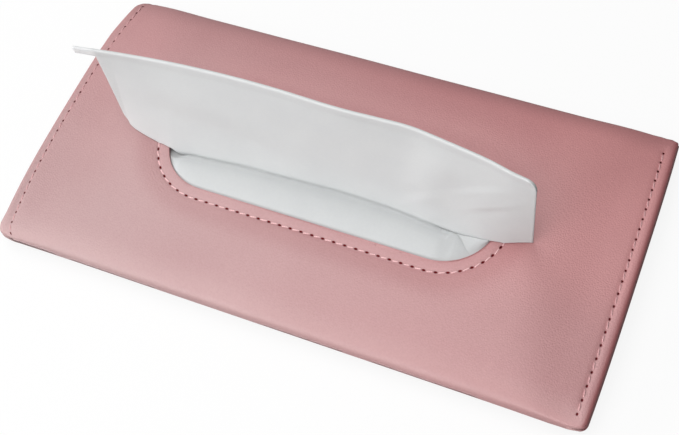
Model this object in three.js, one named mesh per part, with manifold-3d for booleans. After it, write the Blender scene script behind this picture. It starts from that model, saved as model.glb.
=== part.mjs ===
// Tissue holder for a car's sun visor: a padded leather sleeve with a long slot in its crown.
// Its back has a refill flap, held shut by two pairs of magnets, and two elastic straps that
// slip over the visor. A folded tissue pack lies inside, with one sheet standing in the slot.
// Lengths are millimetres. +X runs along the sleeve, +Y from the near fold to the far fold,
// +Z up, and z = 0 is the face that the straps rest on, under the middle of the sleeve.

import * as THREE from 'three';
import { mergeVertices } from 'three/addons/utils/BufferGeometryUtils.js';
import Module from 'manifold-3d';

const wasm = await Module();
wasm.setup();

const { lerp, smoothstep } = THREE.MathUtils;

// Clearance between faces that touch on the real product, and overrun of every cut
const gap = 0.3;
const overrun = 2;

// Sleeve, outside
const sleeveLength = 230;
const sleeveWidth = 118;
const leftCornerRadius = 4.5;
const rightCornerRadius = 2;
const endBow = 0.8;
const crownRise = 11;
const crownFallShare = 0.04;
const backDrop = 3.5;
const seamHalfThickness = 2.4;
const seamArch = 4.4;
const taperLength = 37;
const edgeRadius = 1.2;

// Powers of the curves that the sleeve's section and plan follow
const crownPower = 2.8;
const backPower = 4.5;
const seamPower = 12;
const archPower = 2.9;
const bowPower = 3;
const endPlanPower = 4;

// Layers of the sleeve, and how far the boards stop short of its ends and its folds
const leatherThickness = 1;
const boardThickness = 1;
const liningThickness = 0.4;
const boardEndRoom = 19;
const boardFoldRoom = 9.5;
const boardCorner = 10;
const liningRun = 10;

// Slot in the crown
const slotLength = 130;
const slotWidth = 40.4;
const facingWidth = 9;

// Refill window in the back
const windowWidth = 55;
const windowOffset = 12.5;
const windowCorner = 6;

// Refill flap
const flapEndOverlap = 6;
const flapHingeOverlap = 4;
const flapCatchOverlap = 19;
const flapStrapRoom = 4;
const flapCorner = 12;
const flapHingeCorner = 2;
const flapLeather = 0.8;
const flapBoard = 0.8;
const flapLining = 0.3;
const flapLiningMargin = 2;
const flapFloorClearance = 0.2;
const hingeMarginWidth = 12;
const hingeMarginSewn = 6;

// Magnets
const magnetDiameter = 12;
const magnetThickness = 0.8;
const magnetChamfer = 0.15;
const magnetFromFlapEnd = 33;
const magnetFromFlapEdge = 9;

// Elastic straps and the tabs that cover their sewn ends
const strapWidth = 20;
const strapThickness = 1;
const strapFromEnd = 20;
const strapFoldRoom = 5;
const strapSewnLength = 7;
const strapFallLength = 9;
const tabThickness = 0.8;
const tabSideMargin = 2;
const tabOverhang = 3.5;
const tabOverlap = 6;

// Folded tissues inside
const packEndRoom = 24;
const packFoldRoom = 10.5;
const plyThickness = 0.6;
const nextSheetRise = 1.2;
const nextSheetEndRoom = 5;

// Standing sheet: its outline seen from the near side, and how its top leans away
const sheetThickness = 0.8;
const sheetHemThickness = 1.4;
const sheetHemHeight = 2.5;
const sheetHemBlend = 2.5;
const sheetTipLength = 7.7;
const sheetFootLeft = 70.3;
const sheetFootCutHeight = 8.8;
const sheetFootCutPower = 10;
const sheetLeft = 81.3;
const sheetLeftFlare = 8;
const sheetRight = 78.2;
const sheetTop = 55;
const sheetCorner = 4;
const sheetFold = 0.3;
const sheetFoldsAlong = 2;
const sheetFoldSlant = 1;
const sheetClimb = 9;

// Plan of the standing sheet where it meets the pack, and of its top: shares of half the
// slot's length and of half its width
const sheetFootShares = [
  [-1.29, -0.13],
  [-1.2, -0.26],
  [-1.1, -0.33],
  [-1, -0.4],
  [-0.83, -0.34],
  [-0.5, -0.25],
  [-0.3, -0.23],
  [0.1, -0.18],
  [0.4, -0.2],
  [0.7, -0.29],
  [0.92, -0.325],
  [1.02, -0.29],
  [1.22, -0.1],
];
const sheetTopShares = [
  [-1.5, 0.06],
  [-1.23, 0.18],
  [-0.92, 0.28],
  [-0.6, 0.335],
  [-0.3, 0.34],
  [0, 0.307],
  [0.15, 0.304],
  [0.3, 0.32],
  [0.49, 0.327],
  [0.69, 0.243],
  [0.92, 0.124],
  [1.08, 0],
  [1.22, -0.07],
];

// Counts
const arcSteps = 8;
const discSteps = 24;
const acrossSteps = 16;
const middleSteps = 3;
const taperSteps = 6;
const edgeSteps = 3;
const hingeMarginSteps = 6;
const hingeMarginRows = 8;
const strapSewnSteps = 2;
const strapFallSteps = 6;
const packSteps = 12;
const planSteps = 84;
const nextSheetSteps = 21;
const nextSheetRows = 6;
const sheetSteps = 42;
const sheetRows = 12;

// Half sizes and overall places of the sleeve
const halfLength = sleeveLength / 2;
const halfWidth = sleeveWidth / 2;
const taperStart = halfLength - taperLength;
const boardHalfLength = halfLength - boardEndRoom;
const boardHalfWidth = halfWidth - boardFoldRoom;

// Heights: the stack under the sleeve sets its own, and the sleeve's layers follow inward
const flapBoardZ = flapFloorClearance + flapLeather + gap;
const flapLiningZ = flapBoardZ + flapBoard + gap;
const backPanelZ = flapLiningZ + flapLining + gap;
const foldHeight = backPanelZ + backDrop;
const crownTop = foldHeight + crownRise;
const boardDepth = leatherThickness + gap;
const liningDepth = boardDepth + boardThickness + gap;
const packDepth = liningDepth + liningThickness + gap;

// Places on the back, from the straps inward
const strapCentre = halfLength - strapFromEnd;
const strapHalfSpan = halfWidth - strapFoldRoom;
const strapSewnEdge = strapHalfSpan - strapSewnLength;
const strapFallEdge = strapSewnEdge - strapFallLength;
const flapHalfLength = strapCentre - strapWidth / 2 - flapStrapRoom;
const windowHalfLength = flapHalfLength - flapEndOverlap;
const windowNearY = -windowWidth / 2 - windowOffset;
const windowFarY = windowWidth / 2 - windowOffset;
const hingeY = windowNearY - flapHingeOverlap;
const flapEdgeY = windowFarY + flapCatchOverlap;
const magnetX = flapHalfLength - magnetFromFlapEnd;
const magnetY = flapEdgeY - magnetFromFlapEdge;
const sheetStep = (sheetLeft + sheetRight) / sheetSteps;

// Materials
function material(colour, roughness, metalness = 0) {
  return new THREE.MeshStandardMaterial({ color: colour, roughness, metalness });
}
const leather = material(0xcf9192, 0.55);
const foam = material(0xd8d4cd, 0.95);
const greyBoard = material(0x8d8a86, 0.9);
const liningCloth = material(0xb07a7c, 0.9);
const nickel = material(0xb9bcc0, 0.3, 1);
const elastic = material(0x2b2a2c, 0.85);
const paper = material(0xf1f2f4, 0.95);

// Solids

// Closed mesh as a solid, with its shared corners merged and its flat triangles left out
function solidOf(geometry) {
  const bare = geometry.clone();
  bare.deleteAttribute('normal');
  bare.deleteAttribute('uv');
  const merged = mergeVertices(bare);
  const corners = merged.index.array;
  const kept = [];
  for (let first = 0; first < corners.length; first += 3) {
    const [a, b, c] = corners.slice(first, first + 3);
    if (a !== b && b !== c && c !== a) {
      kept.push(a, b, c);
    }
  }
  const vertProperties = new Float32Array(merged.attributes.position.array);
  return new wasm.Manifold(
    new wasm.Mesh({ numProp: 3, vertProperties, triVerts: new Uint32Array(kept) }));
}

// Solid between two facing surfaces, each given as rows of points
function solidBetween(upper, lower) {
  const rowLength = upper[0].length;
  const points = [...upper.flat(), ...lower.flat()];
  const half = upper.length * rowLength;
  const indices = [];
  const quad = (a, b, c, d) => indices.push(a, b, c, a, c, d);
  for (let i = 0; i < upper.length - 1; i += 1) {
    for (let j = 0; j < rowLength - 1; j += 1) {
      const a = i * rowLength + j;
      const b = a + rowLength;
      quad(a, b, b + 1, a + 1);
      quad(half + a, half + a + 1, half + b + 1, half + b);
    }
    const first = i * rowLength;
    const last = first + rowLength - 1;
    quad(half + first, half + first + rowLength, first + rowLength, first);
    quad(last, last + rowLength, half + last + rowLength, half + last);
  }
  const end = half - rowLength;
  for (let j = 0; j < rowLength - 1; j += 1) {
    quad(half + j, j, j + 1, half + j + 1);
    quad(end + j, half + end + j, half + end + j + 1, end + j + 1);
  }
  const geometry = new THREE.BufferGeometry();
  const positions = points.flatMap((point) => point.toArray());
  geometry.setAttribute('position', new THREE.Float32BufferAttribute(positions, 3));
  geometry.setIndex(indices);
  return solidOf(geometry);
}

// Solid between two heights over a grid of x and y values
function slab(xs, ys, bottomAt, topAt) {
  const surface = (heightAt) => xs.map((x) => ys.map((y) => new THREE.Vector3(x, y, heightAt(x, y))));
  return solidBetween(surface(topAt), surface(bottomAt));
}

// Equally spaced values, both ends included
function spread(from, to, steps) {
  return Array.from({ length: steps + 1 }, (_, step) => lerp(from, to, step / steps));
}

// Straight prism of a flat outline between two heights
function prism(outline, bottom, top) {
  const geometry = new THREE.ExtrudeGeometry(outline, {
    depth: top - bottom,
    bevelEnabled: false,
    curveSegments: arcSteps,
  });
  geometry.translate(0, 0, bottom);
  return solidOf(geometry);
}

// Rectangle from near to far with its own radius at the near corners and at the far ones
function roundedOutline(halfX, nearY, farY, nearRadius, farRadius) {
  const outline = new THREE.Shape();
  outline.moveTo(nearRadius - halfX, nearY);
  outline.lineTo(halfX - nearRadius, nearY);
  outline.absarc(halfX - nearRadius, nearY + nearRadius, nearRadius, -Math.PI / 2, 0);
  outline.absarc(halfX - farRadius, farY - farRadius, farRadius, 0, Math.PI / 2);
  outline.absarc(farRadius - halfX, farY - farRadius, farRadius, Math.PI / 2, Math.PI);
  outline.absarc(nearRadius - halfX, nearY + nearRadius, nearRadius, Math.PI, Math.PI * 1.5);
  return outline;
}

// The slot's outline, grown by a margin: two half circles joined by straights
function slotOutline(margin) {
  const radius = slotWidth / 2 + margin;
  const centre = (slotLength - slotWidth) / 2;
  const outline = new THREE.Shape();
  outline.absarc(centre, 0, radius, -Math.PI / 2, Math.PI / 2);
  outline.absarc(-centre, 0, radius, Math.PI / 2, Math.PI * 1.5);
  return outline;
}

// Disc with a small chamfer round both faces, standing on its bottom height
function disc(diameter, thickness, chamfer) {
  const radius = diameter / 2;
  const profile = [
    new THREE.Vector2(0, 0),
    new THREE.Vector2(radius - chamfer, 0),
    new THREE.Vector2(radius, chamfer),
    new THREE.Vector2(radius, thickness - chamfer),
    new THREE.Vector2(radius - chamfer, thickness),
    new THREE.Vector2(0, thickness),
  ];
  const geometry = new THREE.LatheGeometry(profile, discSteps);
  geometry.rotateX(Math.PI / 2);
  return geometry;
}

// The sleeve's surface

// How far the filled sleeve has flattened towards its end seam: 0 in the middle, 1 at the end
function flattening(x) {
  return smoothstep(Math.abs(x), taperStart, halfLength);
}

// Height of the skin that lies a depth inside the outer face, over the point x, y.
// The section is a superellipse, high on the crown side and low on the back side, and it
// turns into a thin, evenly thick, arched seam at each end.
function skinHeight(x, y, depth, side) {
  const flat = flattening(x);
  const middleRise = side > 0 ? crownRise * (1 - crownFallShare * (x / halfLength) ** 2) : backDrop;
  const rise = lerp(middleRise, seamHalfThickness, flat) - depth;
  const inversePower = lerp(1 / (side > 0 ? crownPower : backPower), 1 / seamPower, flat);
  const reach = Math.min(Math.abs(y) / (halfWidth - depth), 1);
  const arch = seamArch * flat * (1 - (Math.abs(y) / halfWidth) ** archPower);
  return foldHeight + arch + side * rise * (1 - reach ** (1 / inversePower)) ** inversePower;
}

// Point of that skin. In plan the ends bow out a little and the corners are rounded, the left
// ones more than the right ones.
function skinPoint(x, y, depth, side) {
  const cornerRadius = x < 0 ? leftCornerRadius : rightCornerRadius;
  const pastCorner = Math.max(Math.abs(y) - (halfWidth - cornerRadius), 0);
  const cut = cornerRadius - Math.sqrt(cornerRadius ** 2 - pastCorner ** 2);
  const bow = endBow * (Math.abs(y) / halfWidth) ** bowPower;
  const setback = (bow + cut) * (Math.abs(x) / halfLength) ** endPlanPower;
  return new THREE.Vector3(x - Math.sign(x) * setback, y, skinHeight(x, y, depth, side));
}

// Stations along half of the sleeve, closer together where it tapers
function stationsTo(endX) {
  return [
    ...spread(0, taperStart, middleSteps),
    ...spread(taperStart, endX, taperSteps).slice(1),
  ];
}

// Places across the sleeve as shares of its half width, closer together towards the folds
const widthShares = spread(-Math.PI / 2, Math.PI / 2, acrossSteps).map((angle) => Math.sin(angle));

// Whole sleeve inside a skin at the given depth, with its end edges rounded over
function sleeveBody(depthAt, rounding) {
  const straightEnd = halfLength - depthAt(halfLength) - rounding;
  const rightHalf = stationsTo(straightEnd).slice(1).map((x) => [x, 0]);
  for (let step = 1; step <= edgeSteps && rounding > 0; step += 1) {
    const angle = (Math.PI / 2) * (step / edgeSteps);
    rightHalf.push([straightEnd + rounding * Math.sin(angle), rounding * (1 - Math.cos(angle))]);
  }
  const leftHalf = rightHalf.map(([x, inset]) => [-x, inset]).reverse();
  const surface = (side) => [...leftHalf, [0, 0], ...rightHalf].map(([x, inset]) => {
    const depth = depthAt(x) + inset;
    const reach = halfWidth - depth;
    return widthShares.map((share) => skinPoint(x, share * reach, depth, side));
  });
  return solidBetween(surface(1), surface(-1));
}

// Depth of the lining: under the boards in the middle, against the leather past their ends
function liningDepthAt(x, depth) {
  const past = smoothstep(Math.abs(x), boardHalfLength, boardHalfLength + liningRun);
  return lerp(depth, depth - boardThickness - gap, past);
}

// Tools that cut every layer alike
const slotCut = prism(slotOutline(0), foldHeight, crownTop + overrun);
const windowOutline = roundedOutline(windowHalfLength, windowNearY, windowFarY,
  windowCorner, windowCorner);
const windowCut = prism(windowOutline, -overrun, foldHeight);
const boardOutline = roundedOutline(boardHalfLength, -boardHalfWidth, boardHalfWidth,
  boardCorner, boardCorner);

// One wrap of leather. Its two long edges meet on the back, beside the window, in a butt seam.
function outerCover() {
  const outside = sleeveBody(() => 0, edgeRadius);
  const inside = sleeveBody(() => leatherThickness, 0);
  let cover = outside.subtract(inside).subtract(slotCut).subtract(windowCut);
  const seamEnd = halfLength - edgeRadius - leatherThickness;
  for (const side of [-1, 1]) {
    const seam = new THREE.Shape();
    seam.moveTo(side * (windowHalfLength - windowCorner), windowNearY);
    seam.lineTo(side * seamEnd, windowNearY);
    seam.lineTo(side * seamEnd, windowNearY + gap);
    seam.lineTo(side * (windowHalfLength - windowCorner), windowNearY + gap);
    cover = cover.subtract(prism(seam, -overrun, foldHeight));
  }
  return cover;
}

function lining() {
  const outside = sleeveBody((x) => liningDepthAt(x, liningDepth), 0);
  const inside = sleeveBody((x) => liningDepthAt(x, liningDepth + liningThickness), 0);
  return outside.subtract(inside).subtract(slotCut).subtract(windowCut);
}

// Board one layer under the leather, on the crown side or the back side, out to the board's edge
function boardLayer(side) {
  const rightHalf = stationsTo(halfLength).filter((x) => x < boardHalfLength - boardThickness);
  rightHalf.push(boardHalfLength);
  const stations = [...rightHalf.slice(1).map((x) => -x).reverse(), ...rightHalf];
  const inner = widthShares.map((share) => share * (halfWidth - boardDepth))
    .filter((y) => Math.abs(y) < boardHalfWidth - boardThickness);
  const ys = [-boardHalfWidth, ...inner, boardHalfWidth];
  const face = (depth) => stations.map((x) => ys.map((y) => skinPoint(x, y, depth, side)));
  const faces = [face(boardDepth), face(boardDepth + boardThickness)];
  return side > 0 ? solidBetween(faces[0], faces[1]) : solidBetween(faces[1], faces[0]);
}

function crownFoam() {
  const facingCut = prism(slotOutline(facingWidth + gap), foldHeight, crownTop + overrun);
  return boardLayer(1).intersect(prism(boardOutline, 0, crownTop + overrun)).subtract(facingCut);
}

function slotFacing() {
  const ring = prism(slotOutline(facingWidth), foldHeight, crownTop).subtract(slotCut);
  return boardLayer(1).intersect(ring);
}

function backBoard() {
  let board = boardLayer(-1).intersect(prism(boardOutline, 0, crownTop)).subtract(windowCut);
  for (const side of [-1, 1]) {
    board = board.subtract(magnetHole(side, backPanelZ, foldHeight));
  }
  return board;
}

// Magnets

function magnetHole(side, bottom, top) {
  const outline = new THREE.Shape();
  outline.absarc(side * magnetX, magnetY, magnetDiameter / 2 + gap, 0, Math.PI * 2);
  return prism(outline, bottom, top);
}

// Lies on the inner face of the back leather, or in the flap's board
function magnetGeometry(side, bottom) {
  const geometry = disc(magnetDiameter, magnetThickness, magnetChamfer);
  geometry.translate(side * magnetX, magnetY, bottom);
  return geometry;
}

// Flap

function flapOutline(inset) {
  return roundedOutline(flapHalfLength - inset, hingeY + gap / 2 + inset, flapEdgeY - inset,
    flapHingeCorner, flapCorner - inset);
}

// Shallow tray: the leather turns up round the board and ends level with it
function flapCover() {
  const tray = prism(flapOutline(0), flapFloorClearance, flapBoardZ + flapBoard);
  const pocket = prism(flapOutline(flapLeather), flapFloorClearance + flapLeather,
    flapBoardZ + flapBoard + overrun);
  return tray.subtract(pocket);
}

function flapStiffener() {
  let board = prism(flapOutline(flapLeather + gap), flapBoardZ, flapBoardZ + flapBoard);
  for (const side of [-1, 1]) {
    board = board.subtract(magnetHole(side, 0, foldHeight));
  }
  return board;
}

function flapInnerLining() {
  return prism(flapOutline(flapLiningMargin), flapLiningZ, flapLiningZ + flapLining);
}

// Sewn margin of the flap's leather: level at the hinge line, then up against the back panel
function hingeMargin() {
  const farY = hingeY - gap / 2;
  const nearY = farY - hingeMarginWidth;
  const topAt = (x, y) => {
    const seated = skinHeight(x, y, 0, -1) - gap;
    const level = flapFloorClearance + flapLeather;
    return lerp(seated, level, smoothstep(y, nearY + hingeMarginSewn, farY));
  };
  const bottomAt = (x, y) => topAt(x, y) - flapLeather;
  return slab(spread(-flapHalfLength, flapHalfLength, hingeMarginSteps),
    spread(nearY, farY, hingeMarginRows), bottomAt, topAt);
}

// Straps

// Top of a strap: sewn against the back panel at both ends and lying flat between them
function strapTop(x, y) {
  const seated = skinHeight(x, y, 0, -1) - gap;
  return lerp(strapThickness, seated, smoothstep(Math.abs(y), strapFallEdge, strapSewnEdge));
}

function strap(side) {
  const centre = side * strapCentre;
  const nearHalf = [
    ...spread(-strapHalfSpan, -strapSewnEdge, strapSewnSteps),
    ...spread(-strapSewnEdge, -strapFallEdge, strapFallSteps).slice(1),
  ];
  const ys = [...nearHalf, ...nearHalf.map((y) => -y).reverse()];
  const bottomAt = (x, y) => strapTop(x, y) - strapThickness;
  return slab(spread(centre - strapWidth / 2, centre + strapWidth / 2, edgeSteps), ys, bottomAt, strapTop);
}

// Leather tab under a strap's sewn end, draped from the strap onto the back panel round it
function strapTab(side, end) {
  const centre = side * strapCentre;
  const topAt = (x, y) => {
    const pastSide = Math.abs(x - centre) - strapWidth / 2;
    const pastEnd = Math.abs(y) - strapHalfSpan;
    const past = smoothstep(Math.max(pastSide, pastEnd), gap, tabSideMargin);
    const underStrap = skinHeight(x, y, 0, -1) - gap - strapThickness - gap;
    return underStrap + past * strapThickness;
  };
  const strapEdge = strapWidth / 2 + gap;
  const tabEdge = strapWidth / 2 + tabSideMargin;
  const xs = [-tabEdge, ...spread(-strapEdge, strapEdge, edgeSteps), tabEdge].map((x) => centre + x);
  const outward = [
    ...spread(strapHalfSpan - tabOverlap, strapHalfSpan + gap, edgeSteps),
    strapHalfSpan + tabSideMargin,
    strapHalfSpan + tabOverhang,
  ];
  const ys = end > 0 ? outward : outward.map((y) => -y).reverse();
  return slab(xs, ys, (x, y) => topAt(x, y) - tabThickness, topAt);
}

// Tissues

function packTop(x, y) {
  return skinHeight(x, y, packDepth, 1);
}

function tissuePack() {
  const halfX = halfLength - packEndRoom;
  const halfY = halfWidth - packFoldRoom;
  return slab(spread(-halfX, halfX, packSteps), spread(-halfY, halfY, acrossSteps),
    (x, y) => skinHeight(x, y, packDepth, -1), packTop);
}

// Smooth line across the slot: gives y at x from points in shares of half the slot
function lineThrough(shares) {
  const curve = new THREE.SplineCurve(shares.map(
    ([along, across]) => new THREE.Vector2((along * slotLength) / 2, (across * slotWidth) / 2)));
  const points = curve.getSpacedPoints(planSteps);
  return (x) => {
    const after = points.findIndex((point) => point.x >= x);
    if (after < 1) {
      return (after < 0 ? points.at(-1) : points[0]).y;
    }
    const [a, b] = [points[after - 1], points[after]];
    return lerp(a.y, b.y, (x - a.x) / (b.x - a.x));
  };
}

const footY = lineThrough(sheetFootShares);
const sheetTopY = lineThrough(sheetTopShares);

// How far the slot reaches along x at a given y
function slotEndX(y) {
  return (slotLength - slotWidth) / 2 + Math.sqrt(Math.max((slotWidth / 2) ** 2 - y ** 2, 0));
}

// Near edge of what lies in the slot at x, one gap inside the cut
function slotNearY(x) {
  const radius = slotWidth / 2 - gap;
  const past = Math.max(Math.abs(x) - (slotLength - slotWidth) / 2, 0);
  return -Math.sqrt(Math.max(radius ** 2 - past ** 2, 0));
}

// Next sheet of the pack: its fold lies in the near half of the slot and swells to the crease
function nextSheet() {
  const reach = slotLength / 2 - nextSheetEndRoom;
  const xs = spread(-reach, reach, nextSheetSteps);
  const shares = spread(0, 1, nextSheetRows);
  const surface = (thicknessAt) => xs.map((x) => shares.map((share) => {
    const y = lerp(slotNearY(x), footY(x) - sheetThickness / 2 - gap, share);
    return new THREE.Vector3(x, y, packTop(x, y) + gap + thicknessAt(share));
  }));
  return solidBetween(surface((share) => plyThickness + nextSheetRise * smoothstep(share, 0, 1)),
    surface(() => 0));
}

// How far a point has passed into the fold along the top of the standing sheet
function hemShare(height) {
  const hemStart = 1 - sheetHemHeight / sheetTop;
  return smoothstep(height, hemStart - sheetHemBlend / sheetTop, hemStart);
}

// Middle of the standing sheet. Share runs along it, height from its foot to its top fold.
function sheetPoint(share, height) {
  const belowCut = Math.max(1 - (height * sheetTop) / sheetFootCutHeight, 0);
  const footCut = (sheetLeft - sheetFootLeft) * belowCut ** 2 * (1 - share) ** sheetFootCutPower;
  const left = -sheetLeft - sheetLeftFlare * height - sheetTipLength * hemShare(height);
  const x = lerp(left, sheetRight, share) + footCut;
  const foot = footY(x);
  const slotEnd = slotEndX(foot);
  const inSlot = 1 - smoothstep(Math.abs(x), slotEnd - sheetClimb, slotEnd - sheetStep);
  const onLeather = Math.max(skinHeight(x, foot, 0, 1), skinHeight(x, foot + sheetThickness, 0, 1));
  const footZ = lerp(onLeather, packTop(x, foot), inSlot) + gap;
  const pastCorner = Math.max(x - (sheetRight - sheetCorner), 0);
  const cornerDrop = sheetCorner - Math.sqrt(sheetCorner ** 2 - pastCorner ** 2);
  const turns = sheetFoldsAlong * share + sheetFoldSlant * height;
  const fold = sheetFold * Math.sin(Math.PI * height) * Math.sin(2 * Math.PI * turns);
  const y = lerp(foot, sheetTopY(x), height) + fold;
  return new THREE.Vector3(x, y, lerp(footZ, sheetTop - cornerDrop, height));
}

function standingSheet() {
  const shares = spread(0, 1, sheetSteps);
  const heights = spread(0, Math.PI / 2, sheetRows).map((angle) => Math.sin(angle));
  const surface = (side) => shares.map((share) => heights.map((height) => {
    const point = sheetPoint(share, height);
    point.y -= (side * lerp(sheetThickness, sheetHemThickness, hemShare(height))) / 2;
    return point;
  }));
  return solidBetween(surface(1), surface(-1));
}

// The assembly

const holder = new THREE.Group();

function add(name, shape, colour) {
  let geometry = shape;
  if (shape instanceof wasm.Manifold) {
    const mesh = shape.getMesh();
    geometry = new THREE.BufferGeometry();
    geometry.setAttribute('position', new THREE.BufferAttribute(mesh.vertProperties, 3));
    geometry.setIndex(new THREE.BufferAttribute(mesh.triVerts, 1));
    geometry.computeVertexNormals();
  }
  const mesh = new THREE.Mesh(geometry, colour);
  mesh.name = name;
  holder.add(mesh);
}

const sides = [['left', -1], ['right', 1]];
const ends = [['near', -1], ['far', 1]];

add('outer_cover', outerCover(), leather);
add('crown_foam', crownFoam(), foam);
add('slot_facing', slotFacing(), leather);
add('back_board', backBoard(), greyBoard);
add('lining', lining(), liningCloth);

add('flap_cover', flapCover(), leather);
add('flap_board', flapStiffener(), greyBoard);
add('flap_lining', flapInnerLining(), liningCloth);
add('flap_hinge_margin', hingeMargin(), leather);

for (const [name, side] of sides) {
  add(`back_magnet_${name}`, magnetGeometry(side, backPanelZ + leatherThickness + gap), nickel);
  add(`flap_magnet_${name}`, magnetGeometry(side, flapBoardZ), nickel);
  add(`strap_${name}`, strap(side), elastic);
  for (const [endName, end] of ends) {
    add(`strap_tab_${name}_${endName}`, strapTab(side, end), leather);
  }
}

add('tissue_pack', tissuePack(), paper);
add('tissue_next', nextSheet(), paper);
add('tissue_sheet', standingSheet(), paper);

export default holder;
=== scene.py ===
import math

import bmesh
import bpy
import numpy as np
from mathutils import Matrix, Vector


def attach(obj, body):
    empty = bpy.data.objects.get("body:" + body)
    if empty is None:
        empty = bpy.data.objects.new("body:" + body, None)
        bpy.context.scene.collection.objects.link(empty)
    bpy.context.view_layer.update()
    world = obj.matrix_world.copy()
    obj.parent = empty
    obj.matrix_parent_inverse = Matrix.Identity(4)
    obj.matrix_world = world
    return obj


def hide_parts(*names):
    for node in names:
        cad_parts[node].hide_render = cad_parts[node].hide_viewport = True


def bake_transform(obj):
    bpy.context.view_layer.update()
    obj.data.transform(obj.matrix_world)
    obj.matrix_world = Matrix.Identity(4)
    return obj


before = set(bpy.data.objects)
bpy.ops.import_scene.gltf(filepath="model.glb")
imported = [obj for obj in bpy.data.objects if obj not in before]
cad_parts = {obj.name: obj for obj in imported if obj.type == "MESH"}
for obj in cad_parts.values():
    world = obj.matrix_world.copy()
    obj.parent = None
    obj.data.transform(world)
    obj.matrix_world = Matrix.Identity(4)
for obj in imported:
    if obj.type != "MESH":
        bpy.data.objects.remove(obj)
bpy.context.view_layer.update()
scene = bpy.context.scene
mm = 0.001
print("frame loaded")

# Camera
camera = dict(
    azimuth=34.022, elevation=59.739, roll=-13.269, distance=429.67, target=(8.229, -12.287, 11.5),
    lens=62.444, sensor=36.0, clip=(0.01, 10))


def makeCamera(c):
    azimuth, elevation, roll = (math.radians(c[key]) for key in ("azimuth", "elevation", "roll"))
    back = Vector((math.sin(azimuth) * math.cos(elevation),
                   -math.cos(azimuth) * math.cos(elevation), math.sin(elevation)))
    across = (-back).cross(Vector((0, 0, 1))).normalized()
    above = across.cross(-back)
    right = across * math.cos(roll) + above * math.sin(roll)
    up = above * math.cos(roll) - across * math.sin(roll)
    data = bpy.data.cameras.new("camera")
    data.lens, data.sensor_width = c["lens"], c["sensor"]
    data.clip_start, data.clip_end = c["clip"]
    eye = bpy.data.objects.new("camera", data)
    turn = Matrix((right, up, back)).transposed().to_4x4()
    eye.matrix_world = Matrix.Translation((Vector(c["target"]) + back * c["distance"]) * mm) @ turn
    scene.collection.objects.link(eye)
    scene.camera = eye


makeCamera(camera)


# Shader maths

class Signal:
    # A socket of a node tree. Arithmetic on it adds the Math nodes for it.
    def __init__(self, tree, socket):
        self.tree, self.socket = tree, socket

    def node(self, kind, inputs=(), output=0, **settings):
        made = self.tree.nodes.new(kind)
        for key, value in settings.items():
            setattr(made, key, value)
        for key, value in dict(inputs).items():
            self.link(value, made.inputs[key])
        return Signal(self.tree, made.outputs[output])

    def link(self, value, socket):
        if isinstance(value, Signal):
            self.tree.links.new(value.socket, socket)
        else:
            socket.default_value = value

    def maths(self, operation, *values):
        return self.node("ShaderNodeMath", enumerate((self,) + values), operation=operation)

    def __add__(self, other):
        return self.maths("ADD", other)

    def __radd__(self, other):
        return self.maths("ADD", other)

    def __sub__(self, other):
        return self.maths("SUBTRACT", other)

    def __rsub__(self, other):
        return (self * -1) + other

    def __mul__(self, other):
        return self.maths("MULTIPLY", other)

    def __rmul__(self, other):
        return self.maths("MULTIPLY", other)

    def __truediv__(self, other):
        return self.maths("DIVIDE", other)

    def __pow__(self, other):
        return self.maths("POWER", other)

    def size(self):
        return self.maths("ABSOLUTE")

    def sine(self):
        return self.maths("SINE")

    def wave(self, pitch):
        return (self * (2 * math.pi / pitch)).sine()

    def fraction(self):
        return self.maths("FRACT")

    def least(self, other):
        return self.maths("MINIMUM", other)

    def most(self, other):
        return self.maths("MAXIMUM", other)

    def step(self, start, end):
        return self.node("ShaderNodeMapRange", {"Value": self, "From Min": start, "From Max": end},
                         interpolation_type="SMOOTHSTEP")

    def mix(self, *pair):
        # Blends two signals or colours, given on the 0 to 255 scale of a screen
        first, second = (rgb(*each) if isinstance(each, tuple) else each for each in pair)
        return self.node("ShaderNodeMix", {0: self, 6: first, 7: second}, 2, data_type="RGBA")


def rgb(red, green, blue):
    # A colour given on the 0 to 255 scale of a screen, as linear light
    shares = [value / 255 for value in (red, green, blue)]
    return tuple(s / 12.92 if s <= 0.04045 else ((s + 0.055) / 1.055) ** 2.4 for s in shares) + (1,)


def hypot(a, b):
    return (a * a + b * b) ** 0.5


class Finish:
    # A material with one Principled shader, and the object's own x, y and z in millimetres
    def __init__(self, name, slot, roughness, colour=(0.8, 0.8, 0.8, 1), **constants):
        self.slot = slot
        self.material = bpy.data.materials.new(name)
        self.material.use_nodes = True
        tree = self.material.node_tree
        self.shader = tree.nodes["Principled BSDF"]
        self.base = Signal(tree, None)
        self.set("Base Color", colour)
        self.set("Roughness", roughness)
        for key, value in constants.items():
            self.set(key.replace("_", " "), value)
        self.place = self.base.node("ShaderNodeTexCoord", output="Object")
        split = self.base.node("ShaderNodeSeparateXYZ", {0: self.place})
        self.x, self.y, self.z = (Signal(tree, s) * (1 / mm) for s in split.socket.node.outputs)

    def set(self, name, value):
        self.base.link(value, self.shader.inputs[name])

    def noise(self, scale, detail=2.0, rough=0.5, stretch=None):
        return self.base.node("ShaderNodeTexNoise", {
            "Vector": self.stretched(stretch), "Scale": scale / mm, "Detail": detail,
            "Roughness": rough})

    def cells(self, scale, feature="F1"):
        return self.base.node("ShaderNodeTexVoronoi", {
            "Vector": self.place, "Scale": scale / mm}, "Distance", feature=feature)

    def stretched(self, stretch):
        if stretch is None:
            return self.place
        return self.base.node("ShaderNodeMapping", {"Vector": self.place, "Scale": stretch})

    def dress(self, colour, height, depth):
        # Height runs from 0 to 1, and depth is in millimetres
        self.set("Base Color", colour)
        self.set("Normal", self.base.node("ShaderNodeBump", {
            "Height": height, "Distance": depth * mm, "Strength": 1.0}))


# Mesh helpers

def smooth(value, start, end):
    share = np.clip((value - start) / (end - start), 0, 1)
    return share * share * (3 - 2 * share)


def blendTo(a, b, share):
    return a + (b - a) * share


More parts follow.
